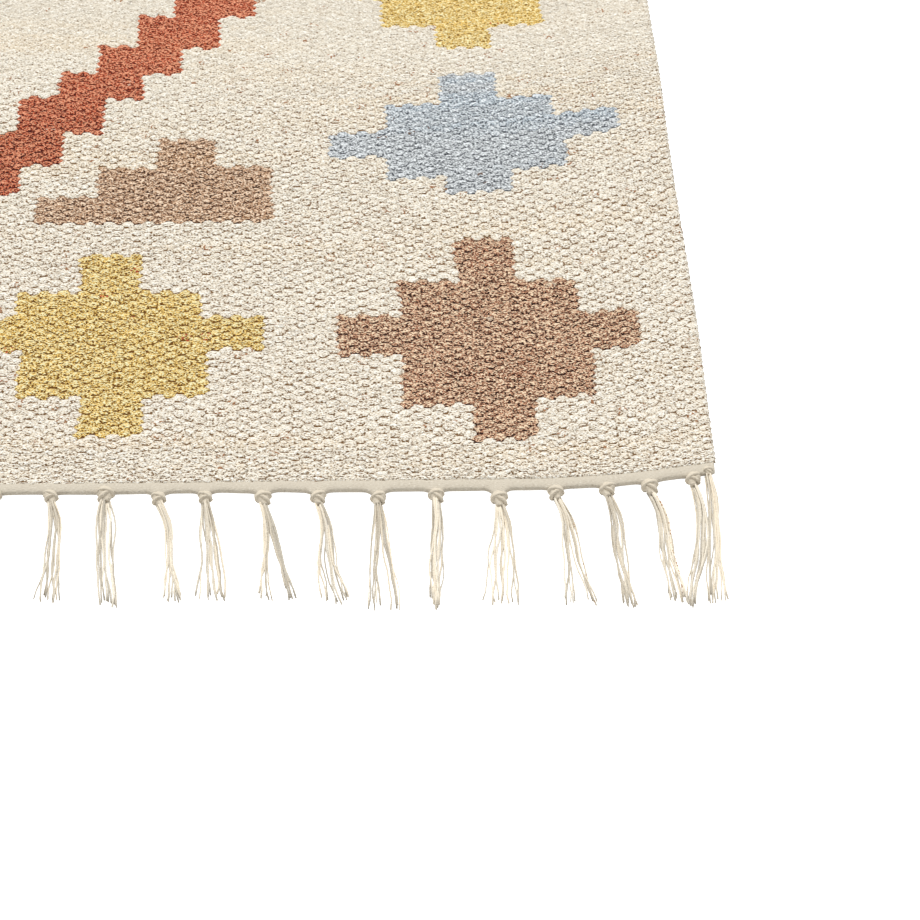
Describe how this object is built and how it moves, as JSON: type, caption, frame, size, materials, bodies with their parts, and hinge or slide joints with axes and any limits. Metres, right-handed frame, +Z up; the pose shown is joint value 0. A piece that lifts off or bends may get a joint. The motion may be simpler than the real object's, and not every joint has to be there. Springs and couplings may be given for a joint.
{
  "type": "cotton rug",
  "caption": "Flat-woven cotton rug with stepped cross and stepped diamond motifs and a knotted tassel fringe across each end.",
  "frame": {"origin": "on the floor, under the middle of the rug", "axes": "+Y along the warps and the rug's length, +X across its width, +Z up; the end shown in the picture is at -Y"},
  "size_m": [0.7999, 1.394, 0.006],
  "materials": {
    "woven_cotton": "matt weft-faced cotton, undyed ecru with terracotta, brown, mustard, blue and taupe motifs",
    "warp_cotton": "matt undyed cotton warp yarn"
  },
  "bodies": {
    "root": {"rug_cloth": "woven_cotton", "fringe_front": "warp_cotton", "fringe_back": "warp_cotton"}
  },
  "joints": []
}
